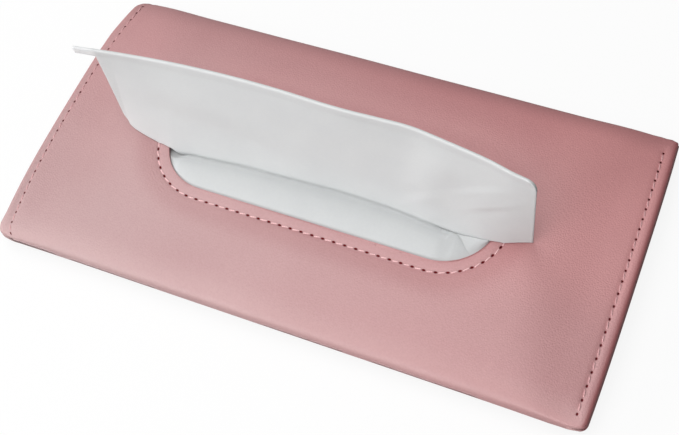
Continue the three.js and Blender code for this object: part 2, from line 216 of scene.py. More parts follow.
def bell(value, width, power=2):
    return np.exp(-(value / width) ** power)


def otherSide(longest, side):
    # The third side of a right-angled triangle, as for the points of a circle
    return np.sqrt(np.maximum(longest ** 2 - side ** 2, 0))


def roundOff(value, power, least=0):
    # Full at zero, and rounded down as the value nears one
    return np.sqrt(np.maximum(1 - value ** power, least))


def sideBySide(*parts):
    return np.stack(np.broadcast_arrays(*parts), -1)


def crossed(first, second):
    return np.meshgrid(first, second, indexing="ij")


def gridFaces(rows, columns, closeRows=False, closeColumns=False):
    # Quads of a grid of points, in the order that makes rows x columns point outwards
    i = np.arange(rows if closeRows else rows - 1)
    j = np.arange(columns if closeColumns else columns - 1)
    i, j = (a.ravel() for a in crossed(i, j))
    nextI, nextJ = (i + 1) % rows, (j + 1) % columns
    return sideBySide(i * columns + j, nextI * columns + j, nextI * columns + nextJ, i * columns + nextJ)


def makePiece(name, form, finish, body, replaces=(), merge=0.0):
    # A form is its points in millimetres and its faces
    points, faces = form
    mesh = bpy.data.meshes.new(name)
    mesh.from_pydata((points.reshape(-1, 3) * mm).tolist(), [],
                     faces if isinstance(faces, list) else faces.tolist())
    shape = bmesh.new()
    shape.from_mesh(mesh)
    if merge:
        bmesh.ops.remove_doubles(shape, verts=shape.verts, dist=merge * mm)
        bmesh.ops.dissolve_degenerate(shape, edges=shape.edges, dist=merge * mm / 2)
    bmesh.ops.recalc_face_normals(shape, faces=shape.faces)
    for face in shape.faces:
        face.smooth = True
    shape.to_mesh(mesh)
    shape.free()
    piece = bpy.data.objects.new(name, mesh)
    scene.collection.objects.link(piece)
    piece.data.materials.append(finish.material)
    if body:
        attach(piece, body)
    if replaces:
        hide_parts(*replaces)
    return piece


def bevel(piece, width, segments=2, angle=35):
    made = piece.modifiers.new("soft edges", "BEVEL")
    made.width, made.segments, made.limit_method = width * mm, segments, "ANGLE"
    made.angle_limit = math.radians(angle)
    piece.modifiers.new("even shading", "WEIGHTED_NORMAL").keep_sharp = True


def stackedLoops(rows, closed=False):
    # A form from loops that follow each other, joined up at the last one when closed
    points = np.array(rows)
    return points, gridFaces(*points.shape[:2], closed, True)


def levelRow(loop, z):
    return np.column_stack([loop, np.full(len(loop), z)])


def solidGrid(x, y, top, bottom, farY=None):
    # Closed solid between two facing grids over the same x and, unless the second has its own, y
    upper = sideBySide(x, y, top)
    lower = sideBySide(x, y if farY is None else farY, bottom)
    rows, columns = x.shape
    size = x.size
    near = gridFaces(rows, columns)
    edge = np.concatenate([np.arange(columns), np.arange(1, rows) * columns + columns - 1,
                           size - 2 - np.arange(columns - 1), np.arange(rows - 2, 0, -1) * columns])
    around = np.roll(edge, -1)
    rim = sideBySide(edge, around, around + size, edge + size)
    return np.stack([upper, lower]), np.concatenate([near, (near + size)[:, ::-1], rim])


def alongLine(line, closed=False):
    # The length of a line of points, and a function from the way along it to a place
    if closed:
        line = np.concatenate([line, line[:1]])
    run = np.concatenate([[0], np.cumsum(np.hypot(*np.diff(line, axis=0).T))])
    return run[-1], lambda at: sideBySide(*(np.interp(at, run, line[:, k]) for k in (0, 1)))


loopCounts = (64, 116, 64, 116)   # points along the right end, far side, left end and near side
cornerSteps = 20                  # points in half a rounded corner, before they are spread out


def roundedLoop(halfX, nearY, farY, nearRadius=0.0, farRadius=0.0):
    # Four sides of a rounded rectangle, each from the middle of one corner to the next
    centres = [(halfX - nearRadius, nearY + nearRadius), (halfX - farRadius, farY - farRadius),
               (farRadius - halfX, farY - farRadius), (nearRadius - halfX, nearY + nearRadius)]
    radii = (nearRadius, farRadius, farRadius, nearRadius)
    turn = np.linspace(0, math.pi / 4, cornerSteps)
    sides = []
    for k, count in enumerate(loopCounts):
        arcs = []
        for corner, start in ((k, math.pi * (2 * k - 1) / 4), ((k + 1) % 4, math.pi * k / 2)):
            (x, y), radius = centres[corner], radii[corner]
            arcs.append(sideBySide(x + radius * np.cos(start + turn), y + radius * np.sin(start + turn)))
        length, place = alongLine(np.concatenate(arcs))
        sides.append(place(np.linspace(0, length, count, endpoint=False)))
    return np.concatenate(sides)


# The sleeve's skin
sleeve = dict(
    halfLength=115.0, halfWidth=59.0, leftCorner=4.5, rightCorner=1.0, nearCorner=3.2, endBow=0.8,
    bowPower=3.0, endPlanPower=4.0, crownRise=11.0, crownFall=0.04, backDrop=3.5, seamHalf=2.4,
    seamArch=4.4, taper=37.0, edgeRadius=1.2, foldHeight=6.5, crownPower=2.8, backPower=4.5,
    seamPower=12.0, archPower=2.9, leather=1.0, endLap=0.35, endLapReach=(110, 114), cornerLift=0.8,
    liftFromX=104.0, liftFromY=44.0)
slotCut = dict(
    halfX=65.0, radius=20.2, stitchInset=4.3, stitchesPerQuarter=19.5, shift=-1.2, holeLength=0.62)
# How far the left end stands out past a straight one, as (y, distance)
leftEdge = ((-59, 1.4), (-50, 0.6), (-20, 0.42), (15, 0.42), (38, 0.62), (47, 0.1), (58, -0.6))
leftEdgeReach = (100, 113)
# The holes of each end's row as (number, y), at the places where their spacing changes
endSeam = dict(
    leftInset=2.95, rightInset=4.3, leftBow=1.0, bowReach=48.0, pitch=4.5, holeLength=0.8,
    rowMargin=0.2, left=((0, -57.8), (4, -41.4), (17, 21.0), (25, 55.8)),
    right=((0, -54.7), (10, -4.94), (23, 51.05)))
slotStraight = slotCut["halfX"] - slotCut["radius"]
stitchRadius = slotCut["radius"] + slotCut["stitchInset"]
slotQuarter = slotStraight + stitchRadius * math.pi / 2
slotPitch = slotQuarter / slotCut["stitchesPerQuarter"]
window = dict(halfX=75.0, nearY=-40.0, farY=15.0, radius=6.0)
packDepth = 3.3


def flattening(x):
    return smooth(np.abs(x), sleeve["halfLength"] - sleeve["taper"], sleeve["halfLength"])


def skinHeight(x, y, side, depth=0.0):
    # A superellipse section, high on the crown and low on the back, that turns into a thin
    # arched seam at each end. The corners of the right end turn up a little.
    s, flat = sleeve, flattening(x)
    middle = s["crownRise"] * (1 - s["crownFall"] * (x / s["halfLength"]) ** 2) if side > 0 \
        else s["backDrop"]
    rise = blendTo(middle, s["seamHalf"], flat) - depth
    power = blendTo(1 / (s["crownPower"] if side > 0 else s["backPower"]), 1 / s["seamPower"], flat)
    reach = np.minimum(np.abs(y) / (s["halfWidth"] - depth), 1)
    arch = s["seamArch"] * flat * (1 - (np.abs(y) / s["halfWidth"]) ** s["archPower"])
    lift = s["cornerLift"] * smooth(x, s["liftFromX"], s["halfLength"]) \
        * smooth(np.abs(y), s["liftFromY"], s["halfWidth"])
    return s["foldHeight"] + arch + lift + side * rise * (1 - reach ** (1 / power)) ** power


def crownFace(x, y):
    return skinHeight(x, y, 1) + crownRelief(x, y)


def setback(x, y):
    # How far a point of the plan is drawn in from the end: a slight bow and the rounded corners
    s = sleeve
    corner = np.where(x < 0, s["leftCorner"], np.where(y < 0, s["nearCorner"], s["rightCorner"]))
    past = np.maximum(np.abs(y) - (s["halfWidth"] - corner), 0)
    cut = corner - otherSide(corner, past)
    bow = s["endBow"] * (np.abs(y) / s["halfWidth"]) ** s["bowPower"]
    return (bow + cut) * (np.abs(x) / s["halfLength"]) ** s["endPlanPower"]


def onSkin(x, phi, depth, side):
    # phi is the angle whose sine is the share of the width
    y = np.sin(phi) * (sleeve["halfWidth"] - depth)
    return sideBySide(x - np.sign(x) * setback(x, y), y, skinHeight(x, y, side, depth))


def phiOf(y, depth):
    return np.arcsin(np.clip(y / (sleeve["halfWidth"] - depth), -1, 1))


def slotDistance(x, y):
    # Distance outside the slot's cut
    return np.hypot(np.maximum(np.abs(x) - slotStraight, 0), y) - slotCut["radius"]


def seamInset(x, y):
    # How far inside the end its stitches lie. The left row bows in toward both corners.
    s = endSeam
    return np.where(x > 0, s["rightInset"], s["leftInset"] + s["leftBow"] * (y / s["bowReach"]) ** 2)


def endInset(x, y):
    # Distance inside the stitch line of the nearer end
    return sleeve["halfLength"] - np.abs(x) - setback(x, y) - seamInset(x, y)


leatherRelief = dict(
    lipRise=0.05, slotValley=0.22, slotValleyWidth=0.9, slotSink=0.9, slotSinkReach=6.5,
    slotSinkPower=1.4, endValley=0.3, endValleyWidth=0.9, endPuff=0.12, endPuffAt=5.5,
    endPuffWidth=4.0, endPuffRise=3.0, endPuffPower=6, endDroop=0.35, droopReach=3.5,
    waveHeight=0.12, waves=(13.0, 21.0, 9.0, 37.0), waveShift=1.1)


def crownRelief(x, y):
    # The stitched ring round the slot lies lower in the padded crown. Then a slight rise of the ring
    # itself, the narrow valleys that the stitches of the slot and of each end pull, the filling just
    # inside an end's seam, and the droop of the leather outside it
    r, d, e = leatherRelief, slotDistance(x, y), endInset(x, y)
    beyond = d - slotCut["stitchInset"]
    lip = r["lipRise"] * np.sin(np.pi * np.clip(d / slotCut["stitchInset"], 0, 1)) ** 2
    valley = r["slotValley"] * bell(beyond, r["slotValleyWidth"])
    sink = r["slotSink"] * bell(np.maximum(beyond, 0), r["slotSinkReach"], r["slotSinkPower"])
    inside = 1 - flattening(x)
    puff = r["endPuff"] * bell(e - r["endPuffAt"], r["endPuffWidth"])
    puff = puff * smooth(e, 0, r["endPuffRise"])
    puff = puff * (1 - (np.abs(y) / sleeve["halfWidth"]) ** r["endPuffPower"])
    a, b, c, g = r["waves"]
    wave = r["waveHeight"] * np.sin(x / a + y / b) * np.sin(y / c - x / g + r["waveShift"])
    droop = r["endDroop"] * np.clip(-e / r["droopReach"], 0, 1) ** 2
    return lip - valley - sink - endValley(x, y) + puff - droop + wave * inside


def endValley(x, y):
    # The valley that the stitches of an end pull, on both faces
    r = leatherRelief
    return r["endValley"] * bell(endInset(x, y), r["endValleyWidth"])


def ringsOnSkin(side, depthAt, nearRings, endInsets, foldInset, rows, relief=None):
    # Loops from the opening's edge out to the sleeve's outline. nearRings are loops of true x
    # and y, endInsets the distances of the last loops from the sleeve's ends. A face with a relief
    # is an outer one, and its edge at the ends is rounded.
    halfX = sleeve["halfLength"]
    loops = []
    for loop in nearRings:
        depth = depthAt(loop[:, 0])
        loops.append(sideBySide(loop[:, 0], phiOf(loop[:, 1], depth)))
    outer = []
    for k, inset in enumerate(endInsets):
        phi = math.pi / 2 - foldInset * (1 - k / (len(endInsets) - 1))
        outer.append(roundedLoop(halfX - inset, -phi, phi))
    for share in np.linspace(0, 1, rows + 2)[1:-1]:
        loops.append(blendTo(loops[len(nearRings) - 1], outer[0], share))
    loops = np.array(loops + outer)
    x, phi = loops[..., 0], loops[..., 1]
    depth = depthAt(x)
    if relief:
        radius = sleeve["edgeRadius"]
        past = np.clip(np.abs(x) - (halfX - radius), 0, radius)
        depth = depth + radius - otherSide(radius, past)
    points = onSkin(x, phi, depth, side)
    if relief:
        points[..., 2] += side * relief(points[..., 0], points[..., 1])
    return points


def slotLoop(margin):
    radius = slotCut["radius"] + margin
    return roundedLoop(slotCut["halfX"] + margin, -radius, radius, radius, radius)


def windowLoop(margin):
    w, radius = window, window["radius"] + margin
    return roundedLoop(w["halfX"] + margin, w["nearY"] - margin, w["farY"] + margin, radius, radius)


edgeSteps = 7     # rows round a cut edge of the leather


def halfRound(loopAt, side, thickness, relief=None):
    # Rounded cut edge from the outer face to the inner one, bulging by half the thickness
    rows = []
    for angle in np.linspace(0, math.pi, edgeSteps)[1:-1]:
        loop = loopAt(thickness / 2 * (1 - math.sin(angle)))
        inner = thickness / 2 * (1 - math.cos(angle))
        z = skinHeight(loop[:, 0], loop[:, 1], side) - side * inner
        if relief and angle < math.pi / 2:
            z = z + side * relief(loop[:, 0], loop[:, 1])
        rows.append(np.column_stack([loop, z]))
    return np.array(rows)


# The leather's grid: distances of its loops from the ends, from the slot and from the window
leatherGrid = dict(
    ends=(22, 19, 16, 13.5, 11.5, 9.8, 8.4, 7.3, 6.4, 5.7, 5.1, 4.6, 4.1, 3.6, 3.1, 2.6, 2.0,
          1.5, 1.2, 0.85, 0.5, 0.2, 0.05, 0), innerEnds=(22, 17, 12, 8, 5, 3, 2, 1.2),
    slot=(0.8, 1.3, 1.9, 2.5, 3.0, 3.4, 3.8, 4.1, 4.4, 4.8, 5.2, 5.7, 6.3, 7.2, 8.4, 10, 12, 14),
    innerSlot=(4, 9), window=(1, 2, 3.5, 5), innerWindow=(4,), crownFold=0.9, backFold=0.75,
    crownRows=11, innerCrownRows=7, backRows=8, innerBackRows=5, walls=(0.3, 0.45, 0.5, 0.55, 0.7),
    groove=0.45, grooveHalf=0.2, grooveFullAt=2.4)


def leatherSleeve():
    g, thick = leatherGrid, sleeve["leather"]

    def face(side, depth, loopAt, margins, ends, rows, relief=None):
        loops = [loopAt(m) for m in (thick / 2, *margins)]
        return ringsOnSkin(side, lambda x: np.full_like(x, depth), loops, np.array(ends),
                           g["crownFold" if side > 0 else "backFold"], rows, relief)

    crownOut = face(1, 0.0, slotLoop, g["slot"], g["ends"], g["crownRows"], crownRelief)
    crownIn = face(1, thick, slotLoop, g["innerSlot"], g["innerEnds"], g["innerCrownRows"])
    backOut = face(-1, 0.0, windowLoop, g["window"], g["ends"], g["backRows"], endValley)
    backIn = face(-1, thick, windowLoop, g["innerWindow"], g["innerEnds"], g["innerBackRows"])
    for outside in (crownOut, backOut):
        x = outside[..., 0]
        x -= np.interp(outside[..., 1], *zip(*leftEdge)) * smooth(-x, *leftEdgeReach)
    # At the right end the back's leather stands out a little past the crown's
    x = backOut[..., 0]
    x += sleeve["endLap"] * smooth(x, *sleeve["endLapReach"])
    crownLip = halfRound(slotLoop, 1, thick, crownRelief)
    backLip = halfRound(windowLoop, -1, thick)
    # The two turned edges of leather meet in a groove along the middle of each end
    wall = []
    for share in g["walls"]:
        row = blendTo(backOut[-1], crownOut[-1], share)
        groove = g["groove"] * max(0, 1 - abs(share - 0.5) / g["grooveHalf"])
        high = np.clip((crownOut[-1][:, 2] - backOut[-1][:, 2]) / g["grooveFullAt"], 0, 1)
        row[:, 0] -= np.sign(row[:, 0]) * groove * high
        wall.append(row)
    rows = [crownOut[::-1], crownLip, crownIn, backIn[::-1], backLip[::-1], backOut, np.array(wall)]
    return stackedLoops(np.concatenate(rows), True)


# Leather
# Both sets blend four corner colours, a painted light gradient: the pink is paler at the left end, a
# painted sheen, and warmer at the right and toward the far side, as (near left, near right, far left,
# far right)
leatherLook = dict(
    colour=((184, 149, 149), (191, 138, 139), (199, 149, 150), (207, 141, 141)),
    deep=((169, 128, 129), (174, 120, 121), (184, 129, 130), (190, 122, 125)), alongX=(-110, 110),
    acrossY=(-59, 59), deepShares=(0.35, 0.3), roughness=0.5, roughSpread=0.12, roughSize=1.1,
    gloss=1.0, broadSize=0.018, speckleSize=1.3, grainSize=1.05, grainDepth=0.05, grainShare=0.8,
    fineSize=2.6, fineShare=0.3)
# Painted shade on the far long fold, a painted sheen on the near one, and painted light on the patch
# right of the slot and on the one behind the standing tissue, where its shadow falls: a colour, its
# greatest share, and where it fades in along x and y
paintedFarShade = dict(colour=(60, 25, 28), y=(47.5, 58.5), x=(-60, 80), share=0.12, moreShare=0.14)
paintedNearSheen = dict(colour=(232, 206, 204), y=(47, 58), share=0.11)
paintedLightPink = (239, 167, 167)
paintedLightRight = dict(middle=6, y=(10, 36), x=(60, 86), share=0.22)
paintedLightBehind = dict(middle=30, y=(3, 14), x=(45, 90), share=0.12)
# Painted shade on the ring where the slot's stitches pull the crown down, up to this far from the slot
paintedRingShade = dict(tint=(0.92, 0.84, 0.84, 1), start=(-0.2, 0.4), reach=(8.0, 16.0), z=(11.0, 13.0))
# The turned edges of the leather at the right end are coloured a darker red
rightEdgeRed = dict(colour=(158, 88, 90), width=(0.3, 2.5), x=(0, 10), share=0.9)
# Stitch holes get painted shade for their depth: a dark red, sunk with a bump
stitchHoles = dict(colour=(92, 22, 28), slot=(0.28, 0.58), end=(0.2, 0.56), depth=3, pastRow=8)
# Fine broken wrinkles that run along the slot's left end
wrinkles = dict(
    pitch=1.3, bend=6, bendSize=0.12, breakSize=0.4, breaks=(0.5, 0.62), start=(0.4, 1.4),
    end=(3.0, 7.0), x=(50, 58), height=0.55)


def pebbles(finish, scale):
    # Rounded grains parted by fine creases, with their edges bent a little
    cells = finish.cells(scale, "DISTANCE_TO_EDGE")
    soft = finish.noise(scale * 0.9, 3.0, 0.6)
    return cells.step(0.0, 0.28) * 0.75 + soft * 0.35


def slotRun(finish):
    # Way round the slot's row of stitches, from the middle of its near side to the right or,
    # below zero, to the left; and the distance across the row
    past = (finish.x.size() - slotStraight).most(0)
    short = slotStraight - finish.x.size().least(slotStraight)
    run = past.maths("ARCTAN2", finish.y * -1) * stitchRadius + slotStraight
    run = run + short * (finish.y.step(-1, 1) * 2 - 1)
    return run * (finish.x.step(-0.01, 0.01) * 2 - 1), hypot(past, finish.y) - stitchRadius


def fromWhole(number):
    # Distance of a number from the nearest whole one
    return ((number + 0.5).fraction() - 0.5).size()


def slotHoleDistance(finish):
    run, across = slotRun(finish)
    along = fromWhole((run - slotCut["shift"]) / slotPitch) * slotPitch
    return hypot(along * slotCut["holeLength"], across)


def holeNumber(y, marks):
    # Number of the hole at y, which grows at a steady rate between each two marks
    number, rate = 0, 0
    for (n0, y0), (n1, y1) in zip(marks, marks[1:]):
        change = (n1 - n0) / (y1 - y0) - rate
        number = number + ((y - y0) if rate == 0 else (y - y0).most(0)) * change
        rate += change
    return number


def endDistances(finish):
    # Distance from the nearest stitch hole of the row along an end, and from that end
    s, e = sleeve, endSeam

    def perSide(left, right):
        return finish.x.step(-1, 1) * (right - left) + left

    y = finish.y.size()
    corner = perSide(s["leftCorner"], s["rightCorner"])
    past = (y - s["halfWidth"] + corner).most(0)
    cut = corner - (corner * corner - past * past).most(0) ** 0.5
    bow = (y / s["halfWidth"]) ** s["bowPower"] * s["endBow"]
    back = (bow + cut) * (finish.x.size() / s["halfLength"]) ** s["endPlanPower"]
    fromEnd = finish.x.size() * -1 - back + s["halfLength"]
    inset = perSide(e["leftInset"], e["rightInset"]) \
        + (y / e["bowReach"]) ** 2 * perSide(e["leftBow"], 0.0)
    number = perSide(holeNumber(finish.y, e["left"]), holeNumber(finish.y, e["right"]))
    middle = perSide(e["left"][-1][0], e["right"][-1][0]) * 0.5
    along = fromWhole(number) * e["pitch"]
    beyond = ((number - middle).size() - middle - e["rowMargin"]).most(0)
    return hypot(along * e["holeLength"], fromEnd - inset) + beyond * stitchHoles["pastRow"], fromEnd


def leatherFinish(name, stitched=False):
    look = leatherLook
    finish = Finish(name, "leather", look["roughness"], Specular_IOR_Level=look["gloss"])
    x, y = finish.x, finish.y

    # Blends the four corner colours: painted light across the sleeve
    def fourCorners(colours):
        near, far = (x.step(*look["alongX"]).mix(*pair) for pair in (colours[:2], colours[2:]))
        return y.step(*look["acrossY"]).mix(near, far)

    def patch(p):
        return (1 - (y - p["middle"]).size().step(*p["y"])) * p["share"]

    broad, speckle = look["deepShares"]
    deeper = finish.noise(look["broadSize"], 3.0).step(0.3, 0.7) * broad \
        + finish.noise(look["speckleSize"]).step(0.3, 0.75) * speckle
    colour = deeper.mix(fourCorners(look["colour"]), fourCorners(look["deep"]))
    # Painted shade along the far fold
    folded = y.step(*paintedFarShade["y"]) * (x.step(*paintedFarShade["x"]) * paintedFarShade["moreShare"] + paintedFarShade["share"])
    colour = folded.mix(colour, paintedFarShade["colour"])
    # Painted light where the standing tissue's shadow falls, right of the slot and behind it
    paler = (patch(paintedLightRight) * x.step(*paintedLightRight["x"])).most(
        patch(paintedLightBehind) * (1 - x.size().step(*paintedLightBehind["x"])))
    colour = paler.mix(colour, paintedLightPink)
    # Painted sheen along the near fold
    colour = ((y * -1).step(*paintedNearSheen["y"]) * paintedNearSheen["share"]).mix(colour, paintedNearSheen["colour"])
    height = pebbles(finish, look["grainSize"]) * look["grainShare"] \
        + finish.noise(look["fineSize"]) * look["fineShare"]
    if stitched:
        p, w = paintedRingShade, wrinkles
        onCrown = finish.z.step(*p["z"])
        fromHole, fromEnd = endDistances(finish)
        fromStitches = slotRun(finish)[1]
        fromSlot = fromStitches + slotCut["stitchInset"]
        # Painted shade in the sunk ring round the slot
        ringShade = fromStitches.step(*p["start"]) * (1 - fromSlot.step(*p["reach"])) * onCrown
        colour = colour.node("ShaderNodeMix", {0: ringShade, 6: colour, 7: p["tint"]}, 2,
                             data_type="RGBA", blend_type="MULTIPLY")
        edgeRed = (1 - fromEnd.step(*rightEdgeRed["width"])) * x.step(*rightEdgeRed["x"]) * rightEdgeRed["share"]
        colour = edgeRed.mix(colour, rightEdgeRed["colour"])
        # Painted shade in the stitch holes
        slotHole = (1 - slotHoleDistance(finish).step(*stitchHoles["slot"])) * onCrown
        hole = slotHole.most(1 - fromHole.step(*stitchHoles["end"]))
        colour = hole.mix(colour, stitchHoles["colour"])
        bend = finish.noise(w["bendSize"]) * w["bend"]
        wave = (fromStitches * (2 * math.pi / w["pitch"]) + bend).sine()
        wave = wave * fromStitches.step(*w["start"]) * (1 - fromStitches.step(*w["end"])) \
            * (x * -1).step(*w["x"]) * finish.noise(w["breakSize"]).step(*w["breaks"]) * onCrown
        height = height - hole * stitchHoles["depth"] + wave * w["height"]
        # Metallic holes reflect only their dark colour, which takes the sheen off their painted shade
        finish.set("Metallic", hole)
    finish.dress(colour, height, look["grainDepth"])
    rough = look["roughness"] - look["roughSpread"] / 2
    finish.set("Roughness", finish.noise(look["roughSize"]) * look["roughSpread"] + rough)
    return finish


sleeveLeather = leatherFinish("stitched leather", True)
plainLeather = leatherFinish("leather")
makePiece("sleeve_leather", leatherSleeve(), sleeveLeather, "sleeve", ["outer_cover"], 0.002)
print("leather sleeve made")


# Layers under the leather
padding = dict(
    top=1.3, bottom=2.3, slotGap=0.05, facingWidth=9.0, seamGap=0.3, halfX=96, halfY=49.5,
    radius=10, facingRows=10, foamRows=14)


def ringLayer(innerLoop, outerLoop, rows):
    # Flat ring of a layer that follows the crown between two depths
    loops = np.array([blendTo(innerLoop, outerLoop, share) for share in np.linspace(0, 1, rows)])
    x, y = np.moveaxis(loops, -1, 0)
    top, bottom = (sideBySide(x, y, skinHeight(x, y, 1, padding[key])) for key in ("top", "bottom"))
    return stackedLoops(np.concatenate([top, bottom[::-1]]), True)


def clothWeave(finish, size, colours, depth):
    # Plain weave: threads over and under each other, from two waves across each other
    warp, weft = (way.wave(size) for way in (finish.x, finish.y))
    height = (warp * weft) * 0.5 + 0.5
    finish.dress((height * 0.6 + finish.noise(0.4, 3.0) * 0.4).mix(*colours),
                 height + finish.noise(2.0, 2.0) * 0.3, depth)


foamFinish = Finish("foam", "foam", 0.9)
foamCells = foamFinish.cells(1.1)
foamFinish.dress(foamCells.step(0.1, 0.6).mix((196, 188, 176), (228, 223, 214)),
                 foamCells.step(0.0, 0.5), 0.12)

clothFinish = Finish("lining cloth", "lining_cloth", 0.85, Sheen_Weight=0.3)
clothWeave(clothFinish, 0.55, ((160, 108, 112), (190, 138, 141)), 0.06)

boardFinish = Finish("grey board", "board", 0.9)
boardFibres = boardFinish.noise(0.9, 4.0, 0.7, stretch=(0.3, 1.0, 1.0))
boardFinish.dress(boardFibres.step(0.3, 0.7).mix((128, 125, 120), (156, 153, 148)), boardFibres, 0.04)

facing = ringLayer(slotLoop(padding["slotGap"]), slotLoop(padding["facingWidth"]), padding["facingRows"])
facingPiece = makePiece("slot_facing_leather", facing, plainLeather, "sleeve", ["slot_facing"])
bevel(facingPiece, 0.25)
foam = ringLayer(slotLoop(padding["facingWidth"] + padding["seamGap"]),
                 roundedLoop(padding["halfX"], -padding["halfY"], padding["halfY"], padding["radius"],
                             padding["radius"]), padding["foamRows"])
foamPiece = makePiece("crown_padding", foam, foamFinish, "sleeve", ["crown_foam"])

bag = dict(
    depth=2.6, thickness=0.4, boardEnd=96.0, run=10.0, step=1.3, loops=(0.1, 3, 8), rows=8,
    ends=(22, 17, 12, 8, 5, 3, 2.2), endGap=0.5)


def sleeveLining():
    # Two faces of cloth under the leather, which come nearer to it past the end of the board
    def face(side, loopAt, fold, extra, gap):
        def depthAt(x):
            past = smooth(np.abs(x), bag["boardEnd"], bag["boardEnd"] + bag["run"])
            return bag["depth"] + extra - bag["step"] * past

        return ringsOnSkin(side, depthAt, [loopAt(m) for m in bag["loops"]],
                           np.array(bag["ends"]) + gap, fold, bag["rows"])

    crown, back = ([face(*where, 0, 0), face(*where, bag["thickness"], bag["endGap"])] for where in (
        (1, slotLoop, leatherGrid["crownFold"]), (-1, windowLoop, leatherGrid["backFold"])))
    return stackedLoops(np.concatenate([crown[0][::-1], crown[1], back[1][::-1], back[0]]), True)


liningPiece = makePiece("sleeve_lining", sleeveLining(), clothFinish, "sleeve", ["lining"])
print("layers made")


# Refill flap
flap = dict(
    halfX=81.0, nearY=-43.85, farY=34.0, nearRadius=2.0, farRadius=12.0, bottom=0.2, top=2.1,
    leather=0.8, edge=0.6, seamInset=3.2, pitch=4.2, valley=0.18, valleyWidth=0.6, rowRise=0.22)
panel = dict(halfX=79, nearY=-41.85, farY=32, nearRadius=1.0, farRadius=10.0, bottom=2.4, top=2.7)
middleLine = roundedLoop(50, -5, -5)     # the level faces of the flap close on it


def flapLoop(inset):
    f = flap
    radii = (max(f[key] - inset, least) for key, least in (("nearRadius", 0.3), ("farRadius", 1)))
    return roundedLoop(f["halfX"] - inset, f["nearY"] + inset, f["farY"] - inset, *radii)


def flapTray():
    # Leather turned up round the board: under face, rounded edge, wall, rim and pocket
    f, seam, lip = flap, flap["seamInset"], flap["leather"] / 2
    # Each row is its inset from the flap's edge, its height and its share of the way out there
    rows = [(seam + 3, f["bottom"], share) for share in (0.0, 0.2, 0.4, 0.6, 0.8)]
    rows += [(inset, f["bottom"] + f["valley"] * bell(inset - seam, f["valleyWidth"]), 1)
             for inset in (seam + 3, seam + 1.5, seam + 0.8, seam + 0.3, seam, seam - 0.3, seam - 0.8,
                           seam / 2)]
    rows += [(f["edge"] * (1 - math.sin(a)), f["bottom"] + f["edge"] * (1 - math.cos(a)), 1)
             for a in np.linspace(0, math.pi / 2, 5)]
    rows += [(lip * (1 - math.cos(a)), f["top"] - lip + lip * math.sin(a), 1)
             for a in np.linspace(0, math.pi, 6)]
    rows += [(f["leather"], f["bottom"] + f["leather"], share) for share in (1, 0.97, 0.6, 0.3, 0.0)]
    return stackedLoops([levelRow(blendTo(middleLine, flapLoop(inset), share), z)
                         for inset, z, share in rows])


makePiece("flap_leather", flapTray(), plainLeather, "flap", ["flap_cover"], 0.005)

backDepth = 0.3       # how far the strips sewn to the back are pressed into its leather
hinge = dict(
    rows=((-56.15, -46, 14), (-45.8, -43.6, 12), (-43.3, -42.3, 3)), columns=61, sewnEnd=-50.15,
    level=-44.15, slack=0.05, tucked=(-43.9, -43.4), stitchY=-53.4, stitchPitch=4.3,
    stitchesEachSide=18)


def hingeStrip():
    # Level under the flap's edge, bending round the hinge line, then up against the back panel
    h = hinge
    x, y = crossed(np.linspace(-flap["halfX"], flap["halfX"], h["columns"]),
                   np.concatenate([np.linspace(*row) for row in h["rows"]]))
    seated = skinHeight(x, y, -1) - backDepth
    level = flap["bottom"] + flap["leather"]
    top = blendTo(seated, level, smooth(y, h["sewnEnd"], h["level"]))
    inside = smooth(y, *h["tucked"]) * h["slack"]
    return solidGrid(x, y, top - inside, top - flap["leather"] + inside)


hingePiece = makePiece("flap_hinge_leather", hingeStrip(), plainLeather, None, ["flap_hinge_margin"])
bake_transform(hingePiece)


def clothPanel():
    p = panel
    cloth = roundedLoop(p["halfX"], p["nearY"], p["farY"], p["nearRadius"], p["farRadius"])
    shares = (0, 0.25, 0.5, 0.75, 0.93, 0.97, 1)
    return stackedLoops([levelRow(blendTo(middleLine, cloth, share), p[key])
                         for key, order in (("bottom", 1), ("top", -1)) for share in shares[::order]])


flapClothPiece = makePiece("flap_lining_cloth", clothPanel(), clothFinish, "flap", ["flap_lining"],
                           0.005)
print("flap made")


# Straps and their tabs
strap = dict(
    centre=95.0, width=20.0, thickness=1.0, halfSpan=54.0, sewn=47.0, fall=38.0, edgePower=12,
    thinnest=0.16, cordPitch=1.0, gatherPitch=0.7)
tab = dict(
    side=2.0, overhang=3.5, overlap=6.0, thickness=0.8, stepStart=0.3, rowSide=1.2, rowNear=5.0,
    rowFar=2.4, rowStart=1.4, pitch=2.9)
bothEnds = (("left", -1), ("right", 1))
bothSides = (("near", -1), ("far", 1))


def elasticFinish():
    # Ribbed elastic: fine cords along the band, crossed by the short waves of its gathers
    finish = Finish("elastic", "elastic", 0.8, Sheen_Weight=0.4)
    cords = finish.x.wave(strap["cordPitch"]) * 0.5 + 0.5
    picks = finish.y.wave(strap["gatherPitch"]) * 0.5 + 0.5
    height = cords * 0.6 + picks * 0.4
    finish.dress(height.mix((26, 25, 27), (62, 60, 62)), height, 0.14)
    return finish


def elasticBand(side):
    # Level across the middle, then up to the back where its ends are sewn, with rounded sides
    s = strap
    xs = side * s["centre"] + np.linspace(-1, 1, 15) * s["width"] / 2
    span, fall = s["halfSpan"], s["fall"]
    ys = np.concatenate([np.linspace(-span, -fall, 26), np.linspace(-fall, fall, 20)[1:-1],
                         np.linspace(fall, span, 26)])
    x, y = crossed(xs, ys)
    seated = skinHeight(x, y, -1) - backDepth
    top = blendTo(s["thickness"], seated, smooth(np.abs(y), fall, s["sewn"]))
    edge = np.abs(x - side * s["centre"]) / (s["width"] / 2)
    half = s["thickness"] / 2 * roundOff(edge, s["edgePower"], s["thinnest"])
    middle = top - s["thickness"] / 2
    return solidGrid(x, y, middle + half, middle - half)


